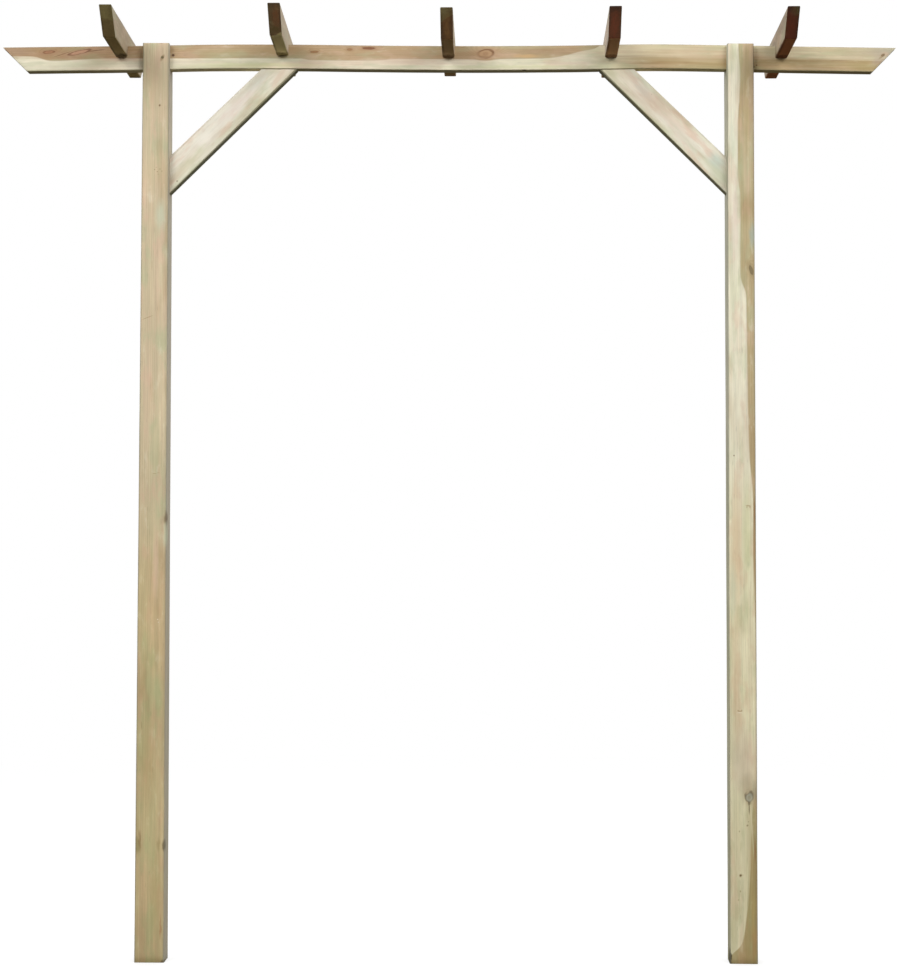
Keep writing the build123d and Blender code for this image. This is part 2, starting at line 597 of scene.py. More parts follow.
    # end grain: where the face looks along the grain
    nrm = g.new("ShaderNodeNewGeometry").outputs["Normal"]
    dot = g.vmath("DOT_PRODUCT", nrm, axis).outputs["Value"]
    endm = g.ramp(g.math("ABSOLUTE", dot), 0.45, 0.68)
    pore = g.noise(g.stretch(p, (700, 700, 200), (s, s, s)), 2.0, 0.6).outputs["Fac"]
    base_end = end
    if end_split is not None:
        at, slope, upper = end_split
        jag = g.noise(g.stretch(p, (90, 90, 90), (s, 1, 2)), 2.0).outputs["Fac"]
        d = g.sub(u, g.add(g.mad(v, slope, at), g.mul(g.sub(jag, 0.5), 0.008)))
        base_end = g.mix(g.ramp(d, -0.0015, 0.0015), end, upper)
    endc = g.mix(g.ramp(late, 0.0, contrast, 0.0, 0.55), base_end,
                 tuple(c * 0.45 for c in end))
    endc = g.mix(g.ramp(pore, 0.35, 0.7, 0.30, 0.0), endc,
                 tuple(c * 0.45 for c in end))
    blot = g.noise(g.stretch(p, (60, 60, 60), (s, 5, 5)), 3.0, 0.6).outputs["Fac"]
    endc = g.mix(g.ramp(blot, 0.5, 0.75, 0.0, 0.5), endc, tuple(c * 0.55 for c in end))
    rag_e = g.vmath("MULTIPLY", rag, (0.018, 0.012, 0.0)).outputs[0]
    rag_e = g.vmath("ADD", p, rag_e).outputs[0]
    if end_spots:
        strk = g.noise(g.stretch(p, (55, 380, 55), (s, 2, 6)), 2.0, 0.6).outputs["Fac"]
        strk = g.ramp(strk, 0.32, 0.64, 0.35, 1.0)
    for eu, ev, ru, rv, c, mix_ in end_spots:
        mask, d = g.spot(rag_e, (eu, ev, 0.0), (ru, rv, 9.0), 0.0, 0.85)
        endc = g.mix(g.mul(g.mul(mask, strk), mix_), endc, c)
    # fine drying splits run out from the pith
    ang = g.math("ARCTAN2", vv, uu)
    spl = g.noise(g.vec(g.mul(ang, 7.0), s, g.mul(r, 9.0)), 1.0).outputs["Fac"]
    spl = g.mul(g.ramp(g.math("ABSOLUTE", g.sub(spl, 0.5)), 0.008, 0.002), 0.35)
    endc = g.mix(spl, endc, tuple(c * 0.2 for c in end))
    col = g.mix(g.mul(endm, end_mix), col, endc)

    # handled, weathered arrises
    ar = g.new("ShaderNodeAttribute", attribute_type="GEOMETRY",
               attribute_name="arris").outputs["Fac"]
    dirt = g.noise(g.stretch(p, (60, 60, 12), (s, 2, 8)), 3.0, 0.6).outputs["Fac"]
    arm = g.mul(g.mul(g.ramp(ar, 0.10, 0.8), g.ramp(dirt, 0.3, 0.65, 0.45, 1.0)), grey)
    col = g.mix(arm, col, GREY)

    # planed surface: latewood stands a little proud, fibres, pores on the ends
    h = g.mad(late, 0.22, g.mul(f1, 0.5))
    h = g.add(h, g.mul(f2, 0.30))
    if knot_bump is not None:
        h = g.mad(knot_bump, 0.35, h)
    saw = g.math("SINE", g.mad(g.add(u, g.mul(v, 0.35)), 2900.0, g.mul(fine, 4.0)))
    hend = g.add(g.mul(pore, 1.2), g.mul(saw, 0.07))
    hend = g.mad(spl, -1.0, hend)
    hm_ = g.new("ShaderNodeMix", data_type="FLOAT")
    g.to(hm_.inputs[0], endm)
    g.to(hm_.inputs[2], h)
    g.to(hm_.inputs[3], hend)
    bump = g.new("ShaderNodeBump")
    bump.inputs["Strength"].default_value = 0.55
    bump.inputs["Distance"].default_value = 0.0006
    g.to(bump.inputs["Height"], hm_.outputs[0])

    rough = g.ramp(g.add(g.mul(f2, 0.5), g.mul(late, 0.5)), 0.1, 0.7, 0.86, 0.66,
                   smooth=False)
    rough = g.top(rough, g.mul(endm, 0.92))
    bsdf = g.new("ShaderNodeBsdfPrincipled")
    g.to(bsdf.inputs["Base Color"], col)
    g.to(bsdf.inputs["Roughness"], rough)
    g.to(bsdf.inputs["Normal"], bump.outputs[0])
    bsdf.inputs["Specular IOR Level"].default_value = 0.28
    out = g.new("ShaderNodeOutputMaterial")
    t.links.new(bsdf.outputs[0], out.inputs[0])
    return mat


def boundary(points, z0, z1, lo, hi, soft=0.0022, lean=0.0, flip=False, ripple=0.0018,
             seed=0.0, front=-0.035):
    """A heartwood mask: heartwood lies past a wavy line that runs along the
    timber. points are (z, x) in metres in the grain frame; lean shifts the
    line with depth behind the show face."""
    def mask(g, p, u, v, w):
        pts = [((z - z0) / (z1 - z0), (x - lo) / (hi - lo)) for z, x in points]
        wn = g.ramp(w, z0, z1, 0.0, 1.0, smooth=False)
        line = g.mad(g.curve(wn, pts), hi - lo, lo)
        n = g.noise(g.stretch(p, (12, 12, 9), (seed, 3, seed)), 2.0).outputs["Fac"]
        line = g.mad(g.sub(n, 0.5), ripple * 2, line)
        if lean:
            line = g.mad(g.sub(v, front), lean, line)
        d = g.sub(u, line)
        if flip:
            d = g.mul(d, -1.0)
        return g.ramp(d, -soft, soft)
    return mask


def screw_material():
    mat = bpy.data.materials.new("screw_zinc")
    mat.use_nodes = True
    t = mat.node_tree
    t.nodes.clear()
    g = Nodes(t)
    geo = g.new("ShaderNodeNewGeometry")
    n = g.noise(g.stretch(geo.outputs["Position"], (700, 700, 700)), 3.0, 0.6)
    n2 = g.noise(g.stretch(geo.outputs["Position"], (180, 180, 180), (3, 1, 2)), 2.0)
    col = g.mix(g.ramp(n.outputs["Fac"], 0.35, 0.7), srgb(146, 134, 98),
                srgb(104, 96, 78))
    col = g.mix(g.ramp(n2.outputs["Fac"], 0.52, 0.7, 0.0, 0.6), col, srgb(112, 74, 44))
    bsdf = g.new("ShaderNodeBsdfPrincipled")
    g.to(bsdf.inputs["Base Color"], col)
    g.to(bsdf.inputs["Roughness"], g.ramp(n.outputs["Fac"], 0.3, 0.7, 0.38, 0.62))
    bsdf.inputs["Metallic"].default_value = 0.85
    out = g.new("ShaderNodeOutputMaterial")
    t.links.new(bsdf.outputs[0], out.inputs[0])
    return mat


# ---------------------------------------------------------------------------
# timbers
# ---------------------------------------------------------------------------
def across_cuts(bm, half_u, half_v, arris, pitch_u, pitch_v):
    for axis, half, pitch in ((0, half_u, pitch_u), (1, half_v, pitch_v)):
        edge = half - arris - 0.0012
        n = max(2, int(round(2 * edge / pitch)))
        for k in range(n + 1):
            slice_at(bm, axis, -edge + 2 * edge * k / n)


# right and left post, fitted to their outlines in the photo: how much wider the
# foot is than the top, its twist, how fast each comes on, and a shift sideways
POST_SHAPE = ((0.034, 0.60, -0.050, 0.55, 0.0004), (0.105, 1.00, -0.012, 1.00, 0.0006))


def post_mesh(name, seed, xc, screws):
    h, t = POST / 2, THICK / 2
    zs = beam_under(xc) - 0.0002
    outline = [(-h, 0), (h, 0), (h, POST_H), (t, POST_H), (t, zs), (-t, zs),
               (-t, POST_H), (-h, POST_H)]
    bm = prism(outline, h, 1)
    inner = [lambda m, d: abs(m.y) < h - 1e-4 and abs(d.z) > 0.9]
    bm = eased(bm, 0.0028, 0.0007, inner)
    slice_at(bm, 2, zs)
    across_cuts(bm, h, h, 0.0028, 0.0075, 0.0075)
    station(bm, 0.011, (zs,))
    mesh = bpy.data.meshes.new(name)
    bm.to_mesh(mesh)
    bm.free()
    mesh = cut_with(mesh, [dimple(at, no) for at, no in screws])
    spread, p, twist, q, shift = POST_SHAPE[name.startswith("post_left")]

    def warp(co):
        out = co.copy()
        low = np.clip(1 - co[:, 2] / POST_H, 0, 1)
        wide = 1 + spread * low ** p
        c, s = np.cos(twist * low ** q), np.sin(twist * low ** q)
        out[:, 0] = wide * (c * co[:, 0] - s * co[:, 1]) + shift * low ** 0.5
        out[:, 1] = s * co[:, 0] + c * co[:, 1]
        return out
    return finish_timber(name, mesh, h, h, Matrix.Translation((xc, 0, 0)), seed,
                         warp=warp, arris=0.0028)


def beam_bow(x):
    """The bow at x of the row frame, in metres, on a smooth line through BOW."""
    pts = BOW
    if x <= pts[0][0]:
        return pts[0][1] / 1000
    if x >= pts[-1][0]:
        return pts[-1][1] / 1000
    k = max(i for i in range(len(pts) - 1) if pts[i][0] <= x)
    (x0, y0), (x1, y1) = pts[k], pts[k + 1]

    def slope(i):
        lo, hi = max(i - 1, 0), min(i + 1, len(pts) - 1)
        return (pts[hi][1] - pts[lo][1]) / (pts[hi][0] - pts[lo][0])
    d = x1 - x0
    f = (x - x0) / d
    return ((2 * f ** 3 - 3 * f ** 2 + 1) * y0 + (f ** 3 - 2 * f ** 2 + f) * d * slope(k)
            + (3 * f ** 2 - 2 * f ** 3) * y1 + (f ** 3 - f ** 2) * d * slope(k + 1)) / 1000


def beam_top(x):
    return BEAM_Z + BEAM_H / 2 + beam_bow(x)


def beam_under(x):
    return BEAM_Z - BEAM_H / 2 + beam_bow(x)


def beam_mesh(name, seed, screws):
    h, t, L = BEAM_H / 2, BEAM_T / 2, BEAM_L / 2
    outline = [(h, -L + 0.0032), (h, L + 0.002), (-h, L - DEEP + 0.005),
               (-h, -L + DEEP + 0.003)]
    bm = prism(outline, t, 0)
    bm = eased(bm, 0.0022, 0.0006)
    across_cuts(bm, h, t, 0.0022, 0.0075, 0.0075)
    station(bm, 0.011)
    mesh = bpy.data.meshes.new(name)
    bm.to_mesh(mesh)
    bm.free()
    mesh = cut_with(mesh, [dimple(at, no) for at, no in screws])

    def warp(co):
        out = co.copy()
        out[:, 0] += np.array([beam_bow(MID + z) for z in co[:, 2]])
        return out
    # grain frame to row frame: x (height) -> Z, y (depth) -> Y, z (length) -> X
    place = Matrix(((0, 0, 1, MID), (0, 1, 0, 0), (1, 0, 0, BEAM_Z), (0, 0, 0, 1)))
    return finish_timber(name, mesh, h, t, place, seed, warp=warp, arris=0.0022)


def rafter_mesh(name, seed, xc, lift, pitch, yaw, screws):
    h, t, L = RAFTER_H / 2, RAFTER_T / 2, RAFTER_L / 2
    n = BEAM_T / 2 + 0.0004
    # the notch is sawn to sit down on the beam
    seat = beam_top(MID + xc) + 0.0001 - (POST_H + lift)
    outline = [(h, -L), (h, L), (-h, L - DEEP), (-h, n), (seat, n), (seat, -n), (-h, -n),
               (-h, -L + DEEP)]
    bm = prism(outline, t, 0)
    inner = [lambda m, d: abs(m.z) < n + 1e-4 and m.x < seat + 1e-4]
    bm = eased(bm, 0.0022, 0.0006, inner)
    slice_at(bm, 2, -n)
    slice_at(bm, 2, n)
    slice_at(bm, 0, seat)
    across_cuts(bm, h, t, 0.0022, 0.0075, 0.0075)
    station(bm, 0.009, (-n, n))
    mesh = bpy.data.meshes.new(name)
    bm.to_mesh(mesh)
    bm.free()
    mesh = cut_with(mesh, [dimple(at, no) for at, no in screws])
    base = Matrix(((0, 1, 0, 0), (0, 0, 1, 0), (1, 0, 0, 0), (0, 0, 0, 1)))
    turn = Matrix.Rotation(yaw, 4, "Z") @ Matrix.Rotation(pitch, 4, "X")
    place = Matrix.Translation((MID + xc, 0, POST_H + lift)) @ turn @ base
    return finish_timber(name, mesh, h, t, place, seed, arris=0.0022), place


# the corners of each brace in the row frame: where its lower and upper edges
# meet the post (z) and the beam (x)
BRACE_EDGES = {"left": (2.0026, 2.1031, 0.3715, 0.2747),
               "right": (2.0060, 2.1026, 1.1693, 1.2608)}
BRACE_BACK = 0.0022


def brace_place(side):
    """Grain frame of a brace to the row frame: z runs up it from the post."""
    s = 1.0 if side == "left" else -1.0
    foot = POST / 2 if side == "left" else SPACING - POST / 2
    z0, z1, x0, x1 = BRACE_EDGES[side]
    low = Vector((foot, 0, z0)), Vector((x0, 0, beam_under(x0)))
    high = Vector((foot, 0, z1)), Vector((x1, 0, beam_under(x1)))
    mid = (low[0] + low[1] + high[0] + high[1]) / 4
    c = math.sqrt(0.5)
    up, along = Vector((-s * c, 0, c)), Vector((s * c, 0, c))
    return Matrix(((up.x, 0, along.x, mid.x), (up.y, 1, along.y, BRACE_BACK),
                   (up.z, 0, along.z, mid.z), (0, 0, 0, 1)))


def brace_mesh(name, seed, side, screws):
    h, t = DEEP / 2, BRACE_T / 2
    place = brace_place(side)
    foot = POST / 2 if side == "left" else SPACING - POST / 2
    z0, z1, x0, x1 = BRACE_EDGES[side]
    back = place.inverted()
    outline = []
    for x, z in ((foot, z0), (x0, beam_under(x0) - 0.0006), (x1, beam_under(x1) - 0.0006),
                 (foot, z1)):
        q = back @ Vector((x, BRACE_BACK, z))
        outline.append((q.x, q.z))
    bm = prism(outline, t, 0)
    bm = eased(bm, 0.0022, 0.0006)
    across_cuts(bm, h, t, 0.0022, 0.0075, 0.0075)
    station(bm, 0.010)
    mesh = bpy.data.meshes.new(name)
    bm.to_mesh(mesh)
    bm.free()
    mesh = cut_with(mesh, [dimple(at, no) for at, no in screws])
    return finish_timber(name, mesh, h, t, place, seed, arris=0.0022), place


# ---- materials of the ten timbers ------------------------------------------
# Knots, stains and marks are placed in each timber's own grain frame.
def mark(x, z, rx, rz, c=DARK, mix=0.8, turn=0.0, soft=0.4, y=-0.035, ry=0.006):
    return {"at": (x, y, z), "r": (rx, ry, rz), "turn": turn, "c": c, "mix": mix,
            "soft": soft}


def patch(x, z, rx, rz, c, mix=0.4, turn=0.0, soft=0.75, y=-0.035, ry=0.022,
          blend="MIX"):
    return {"at": (x, y, z), "r": (rx, ry, rz), "turn": turn, "c": c, "mix": mix,
            "soft": soft, "blend": blend}


STAIN = srgb(120, 88, 52)
TEAL = srgb(176, 196, 182)
OLIVE = srgb(120, 112, 72)

post_left_mat = timber(
    "timber_post_left", 1.0, (0.055, 0.030, 0.004, -0.003), ring=0.0040,
    heart_all=0.55, contrast=0.42, tint=0.50, length=(0.0, POST_H), mottle=1.1,
    fibre=1.6,
    # painted shade: the tone and the washes darken and yellow the post towards its foot, partly its own
    # colour and partly shade
    tone_and_shade=[(0.0, 0.66), (0.06, 0.71), (0.25, 0.74), (0.4, 0.78), (0.6, 0.80),
          (0.85, 0.80), (0.93, 0.76), (1.0, 0.74)],
    washes_and_shade=[{"c": (0.90, 0.86, 0.66), "along": [(0.0, 1.0), (0.2, 0.9), (0.38, 0.85),
                                                 (0.5, 0.3), (0.7, 0.15), (1.0, 0.1)]},
            {"c": (0.72, 0.70, 0.62), "along": [(0.0, 0.9), (0.004, 0.7), (0.014, 0.0),
                                                (1.0, 0.0)]}],
    edges=[(1, 0.008, 0.42, srgb(134, 128, 106)), (-1, 0.006, 0.36, srgb(140, 130, 110))],
    # painted light and shade: the inner right side greyer and lighter, the outer left side darker
    side_colour_and_painted_light=[(1, 0.50, srgb(186, 182, 170)), (-1, 0.20, srgb(150, 140, 118))],
    grey=0.6,
    knots=[
        {"at": (0.0104, -0.035, 2.2337), "r": (0.0021, 0.008, 0.0026), "flow": 0.002,
         "c": srgb(118, 92, 62), "c2": srgb(84, 62, 40), "mix": 0.8, "rim": 0.3,
         "halo": 0.12},
    ],
    patches=[
        patch(0.0160, 1.9426, 0.011, 0.032, srgb(196, 204, 180), 0.55),
        patch(0.0000, 2.060, 0.030, 0.040, srgb(206, 190, 150), 0.28),
        patch(0.0090, 1.0252, 0.006, 0.078, PINK, 0.50),
        patch(0.0140, 0.7008, 0.010, 0.038, srgb(168, 176, 128), 0.50),
        patch(-0.0050, 0.730, 0.007, 0.030, srgb(168, 176, 128), 0.30),
        patch(0.0335, 1.1477, 0.006, 0.013, srgb(108, 84, 58), 0.75),
        patch(0.0335, 1.1060, 0.005, 0.024, srgb(196, 204, 172), 0.60),
        patch(-0.0300, 0.3007, 0.009, 0.022, srgb(136, 124, 78), 0.55, soft=0.5),
        patch(-0.0240, 0.3180, 0.003, 0.018, srgb(128, 100, 60), 0.50),
        patch(0.0330, 0.3008, 0.005, 0.013, srgb(84, 72, 46), 0.70, soft=0.5),
        patch(0.0200, 0.3030, 0.003, 0.014, srgb(146, 128, 80), 0.50),
        patch(0.0265, 0.0902, 0.0016, 0.030, srgb(156, 96, 56), 0.50, soft=0.6),
        patch(-0.0120, 2.300, 0.020, 0.060, srgb(190, 174, 134), 0.35),
        patch(0.0150, 2.250, 0.012, 0.110, srgb(206, 176, 146), 0.35),
        patch(-0.0150, 1.480, 0.012, 0.120, PINK, 0.30),
        patch(0.0080, 1.380, 0.008, 0.090, srgb(190, 186, 146), 0.30),
        patch(-0.0080, 0.520, 0.014, 0.110, srgb(176, 150, 104), 0.35),
        patch(0.0150, 0.180, 0.012, 0.100, srgb(168, 150, 100), 0.35),
        patch(-0.0180, 0.080, 0.010, 0.060, srgb(160, 140, 100), 0.30),
    ],
    marks=[
        mark(0.0168, 2.3605, 0.0038, 0.0085, srgb(138, 104, 64), 0.60, turn=0.5, soft=0.6),
        mark(0.0180, 2.3790, 0.0010, 0.0110, STAIN, 0.22, soft=0.6),
        mark(-0.0010, 2.0640, 0.0014, 0.0012, STAIN, 0.6),
        mark(0.0060, 2.0585, 0.0022, 0.0010, STAIN, 0.55, turn=0.5),
        mark(0.0125, 2.0655, 0.0012, 0.0014, STAIN, 0.55),
        mark(0.0175, 2.0600, 0.0018, 0.0010, STAIN, 0.5, turn=-0.6),
        mark(0.0080, 2.0520, 0.0010, 0.0010, STAIN, 0.5),
        mark(0.0030, 2.0700, 0.0016, 0.0008, STAIN, 0.4),
        mark(-0.0166, 1.6738, 0.0145, 0.0008, srgb(150, 124, 88), 0.65, turn=-0.386),
        mark(0.0050, 1.2651, 0.0050, 0.0010, srgb(150, 124, 88), 0.5),
        mark(0.0140, 1.2672, 0.0030, 0.0009, srgb(150, 124, 88), 0.4),
        mark(0.0150, 0.8850, 0.0011, 0.0016, PALE, 0.8),
        mark(0.0162, 0.8780, 0.0009, 0.0012, PALE, 0.7),
        mark(0.0330, 0.0020, 0.0060, 0.0055, srgb(84, 70, 44), 0.7, ry=0.02),
        mark(-0.0220, 0.6100, 0.0009, 0.0100, STAIN, 0.4),
        mark(-0.0060, 1.8120, 0.0008, 0.0140, STAIN, 0.3),
    ])

post_right_mat = timber(
    "timber_post_right", 2.0, (0.085, 0.045, 0.0, 0.0), ring=0.0038,
    contrast=0.38, tint=0.42, length=(0.0, POST_H), mottle=1.0, fibre=1.5,
    sap=srgb(236, 230, 207), sap_late=srgb(214, 202, 168),
    heart=srgb(186, 168, 130), heart_late=srgb(158, 134, 90),
    heart_mask=boundary(
        [(0.0, -0.045), (0.0225, -0.0306), (0.032, -0.0215), (0.049, -0.0060),
         (0.0679, 0.0), (0.1551, 0.0095), (0.2834, 0.0168), (0.4018, 0.0245), (0.47, 0.033), (0.70, 0.0365),
         (0.9837, 0.0303), (1.1919, 0.0286), (1.325, 0.0188), (1.5343, 0.0145),
         (1.7285, 0.0128), (1.7969, -0.0026), (1.984, -0.0018), (2.0633, -0.0080),
         (2.1691, -0.0076), (2.3148, -0.0017), (2.3945, -0.0053), (2.4, -0.0053)],
        0.0, POST_H, -0.06, 0.06, soft=0.0020, seed=2.0, ripple=0.0012, lean=-0.25),
    # painted shade: the tone and the washes darken and yellow the post towards its foot, partly its own
    # colour and partly shade
    tone_and_shade=[(0.0, 0.72), (0.10, 0.73), (0.18, 0.74), (0.30, 0.77), (0.5, 0.79),
          (0.85, 0.81), (1.0, 0.80)],
    washes_and_shade=[{"c": (0.91, 0.89, 0.75), "along": [(0.0, 1.0), (0.2, 0.95), (0.40, 0.85),
                                                 (0.50, 0.55), (0.60, 0.15), (1.0, 0.0)]},
            {"c": (0.86, 0.83, 0.74), "along": [(0.0, 0.9), (0.10, 0.8), (0.18, 0.35),
                                                (0.24, 0.0), (1.0, 0.0)],
             "across": (-0.010, 0.022)},
            {"c": (0.66, 0.64, 0.56), "along": [(0.0, 0.9), (0.004, 0.6), (0.012, 0.0),
                                                (1.0, 0.0)]}],
    edges=[(-1, 0.0045, 0.42, srgb(126, 126, 106)), (1, 0.007, 0.45, srgb(146, 130, 106))],
    # painted shade: the inner left side face dark greenish grey, as it lies in shade
    side_colour_and_painted_light=[(-1, 0.40, srgb(132, 138, 116)), (1, 0.20, srgb(150, 134, 110))],
    grey=0.6,
    knots=[
        {"at": (0.0258, -0.035, 1.8010), "r": (0.0046, 0.012, 0.0125), "flow": 0.010,
         "turn": -0.25, "c": srgb(112, 98, 70), "c2": srgb(70, 58, 38), "mix": 0.85,
         "rim": 0.5, "halo": 0.42, "halo_c": srgb(150, 134, 98)},
        {"at": (0.0150, -0.035, 0.4275), "r": (0.0098, 0.020, 0.0120), "flow": 0.014,
         "turn": 0.35, "c": srgb(162, 166, 150), "c2": srgb(118, 116, 96), "mix": 0.80,
         "rim": 0.55, "rim_c": srgb(70, 62, 46), "halo": 0.30, "turns": 8.0,
         "halo_c": srgb(154, 138, 104)},
        {"at": (-0.0068, -0.035, 0.2269), "r": (0.0024, 0.008, 0.0030), "flow": 0.004,
         "turn": 0.4, "c": srgb(62, 44, 24), "c2": srgb(48, 34, 18), "mix": 0.92,
         "rim": 0.5, "halo": 0.38, "halo_c": srgb(150, 126, 84)},
        {"at": (0.0150, 0.01, 2.1691), "r": (0.0055, 0.030, 0.0100), "flow": 0.014,
         "c": srgb(190, 170, 130), "mix": 0.15, "rim": 0.1, "halo": 0.2,
         "halo_c": srgb(160, 136, 92)},
    ],
    patches=[
        patch(0.0150, 1.9682, 0.020, 0.034, srgb(158, 128, 84), 0.42),
        patch(0.0300, 1.8918, 0.008, 0.024, srgb(158, 172, 162), 0.60),
        patch(0.0150, 2.200, 0.008, 0.100, srgb(176, 164, 112), 0.40),
        patch(0.0130, 2.345, 0.016, 0.040, srgb(168, 152, 108), 0.45),
        patch(0.0290, 2.250, 0.007, 0.110, srgb(172, 150, 124), 0.45),
        patch(-0.0200, 2.150, 0.010, 0.060, srgb(206, 212, 188), 0.45),
        patch(-0.0150, 1.930, 0.008, 0.110, srgb(232, 214, 202), 0.45),
        patch(-0.0200, 2.370, 0.012, 0.030, srgb(196, 196, 160), 0.40),
        patch(0.0, 0.5228, 0.026, 0.070, srgb(192, 172, 152), 0.50),
        patch(0.0100, 0.4600, 0.018, 0.026, srgb(152, 140, 112), 0.45),
        patch(0.0195, 0.4360, 0.0065, 0.0060, srgb(70, 62, 48), 0.75, soft=0.5),
        patch(0.0065, 0.4300, 0.0026, 0.0080, srgb(76, 66, 48), 0.70, soft=0.5),
        patch(0.0145, 0.4150, 0.0042, 0.0075, srgb(84, 76, 54), 0.75, soft=0.5),
        patch(0.0300, 0.4420, 0.006, 0.020, srgb(140, 130, 108), 0.5),
        patch(-0.0230, 0.085, 0.008, 0.070, srgb(178, 172, 130), 0.45),
        patch(-0.0150, 0.300, 0.010, 0.110, srgb(186, 170, 128), 0.30),
        patch(-0.0350, 0.018, 0.0045, 0.022, srgb(46, 42, 26), 0.88, soft=0.3),
        patch(0.0100, 0.0200, 0.026, 0.016, srgb(150, 126, 78), 0.35),
        patch(0.0260, 0.0500, 0.006, 0.040, srgb(162, 112, 66), 0.45),
        patch(0.0240, 0.1250, 0.005, 0.060, srgb(176, 152, 92), 0.45),
        patch(-0.0160, 1.080, 0.011, 0.130, srgb(204, 172, 134), 0.50),
        patch(-0.0170, 0.800, 0.010, 0.110, srgb(200, 168, 130), 0.35),
        patch(0.0120, 1.120, 0.010, 0.110, srgb(198, 198, 152), 0.50),
        patch(0.0080, 0.920, 0.009, 0.060, srgb(190, 194, 154), 0.35),
        patch(-0.0240, 0.960, 0.008, 0.060, srgb(184, 192, 164), 0.45),
        patch(-0.0140, 0.640, 0.009, 0.070, srgb(190, 152, 118), 0.35),
    ],
    marks=[
        mark(-0.0203, 1.3144, 0.0018, 0.0022, STAIN, 0.7),
        mark(0.0156, 1.1835, 0.0065, 0.0016, srgb(156, 130, 90), 0.6, turn=0.15),
        mark(0.0120, 1.1800, 0.0016, 0.0030, srgb(156, 130, 90), 0.5),
        mark(0.0198, 1.1800, 0.0016, 0.0030, srgb(156, 130, 90), 0.5),
        mark(0.0296, 1.0800, 0.0022, 0.1050, srgb(146, 108, 66), 0.65, soft=0.6),
        mark(0.0312, 1.1700, 0.0026, 0.0300, srgb(134, 96, 58), 0.6, soft=0.6),
        mark(-0.0076, 0.6500, 0.0060, 0.0014, srgb(150, 122, 82), 0.55),
        mark(-0.0122, 0.6520, 0.0018, 0.0016, srgb(150, 122, 82), 0.5, turn=0.7),
        mark(-0.0030, 0.6520, 0.0018, 0.0016, srgb(150, 122, 82), 0.5, turn=-0.7),
        mark(-0.0076, 0.6462, 0.0062, 0.0012, PALE, 0.45),
        mark(0.0148, 0.3980, 0.0015, 0.0130, srgb(96, 88, 62), 0.75, soft=0.6),
        mark(0.0290, 0.2930, 0.0016, 0.0300, srgb(134, 84, 50), 0.70, soft=0.6),
        mark(0.0102, 0.3554, 0.0022, 0.0026, srgb(110, 94, 60), 0.6, turn=0.6),
        mark(0.0128, 0.3650, 0.0014, 0.0014, srgb(120, 104, 70), 0.5),
        mark(-0.0100, 0.3400, 0.0016, 0.0024, srgb(140, 124, 88), 0.5),
        mark(-0.0080, 0.1860, 0.0016, 0.0026, srgb(136, 116, 76), 0.5),
        mark(-0.0130, 0.1640, 0.0018, 0.0020, srgb(136, 116, 76), 0.4),
        mark(0.0222, 0.3400, 0.0012, 0.0620, srgb(206, 196, 160), 0.55, turn=-0.05),
        mark(0.0150, 0.2200, 0.0012, 0.0650, srgb(206, 196, 160), 0.50, turn=0.055),
        mark(0.0045, 0.1120, 0.0012, 0.0440, srgb(206, 196, 160), 0.50, turn=0.16),
    ])


def beam_heart(g, p, u, v, w):
    left = boundary(
        [(-1.18, 0.0075), (-1.1006, 0.0070), (-1.0397, -0.0055), (-0.9473, -0.0020),
         (-0.8997, -0.0010), (-0.654, -0.0043), (-0.3899, -0.0050), (-0.3634, -0.0090),
         (-0.205, -0.0080), (-0.1258, -0.0033), (0.059, -0.0031), (0.0986, -0.0065),
         (0.1382, -0.0028), (0.2517, -0.0013), (0.3071, 0.0058), (0.3441, 0.0150),
         (0.3837, 0.0221), (0.45, 0.040), (1.18, 0.045)],
        -1.18, 1.18, -0.05, 0.05, soft=0.0016, seed=3.0, ripple=0.0011)(g, p, u, v, w)
    # further right it is brown along the lower half instead
    right = g.ramp(w, 0.36, 0.56)
    n = g.noise(g.stretch(p, (20, 20, 3.5), (4, 4, 1)), 2.0).outputs["Fac"]
    low = g.ramp(g.mad(n, 0.022, g.add(u, -0.008)), 0.009, -0.007)
    n2 = g.noise(g.stretch(p, (120, 120, 4.0), (2, 8, 1)), 2.0).outputs["Fac"]
    other = g.add(g.mad(low, 0.50, 0.36), g.ramp(n2, 0.35, 0.7, -0.10, 0.22))
    return g.top(g.mul(left, g.sub(1.0, right)), g.mul(right, other))


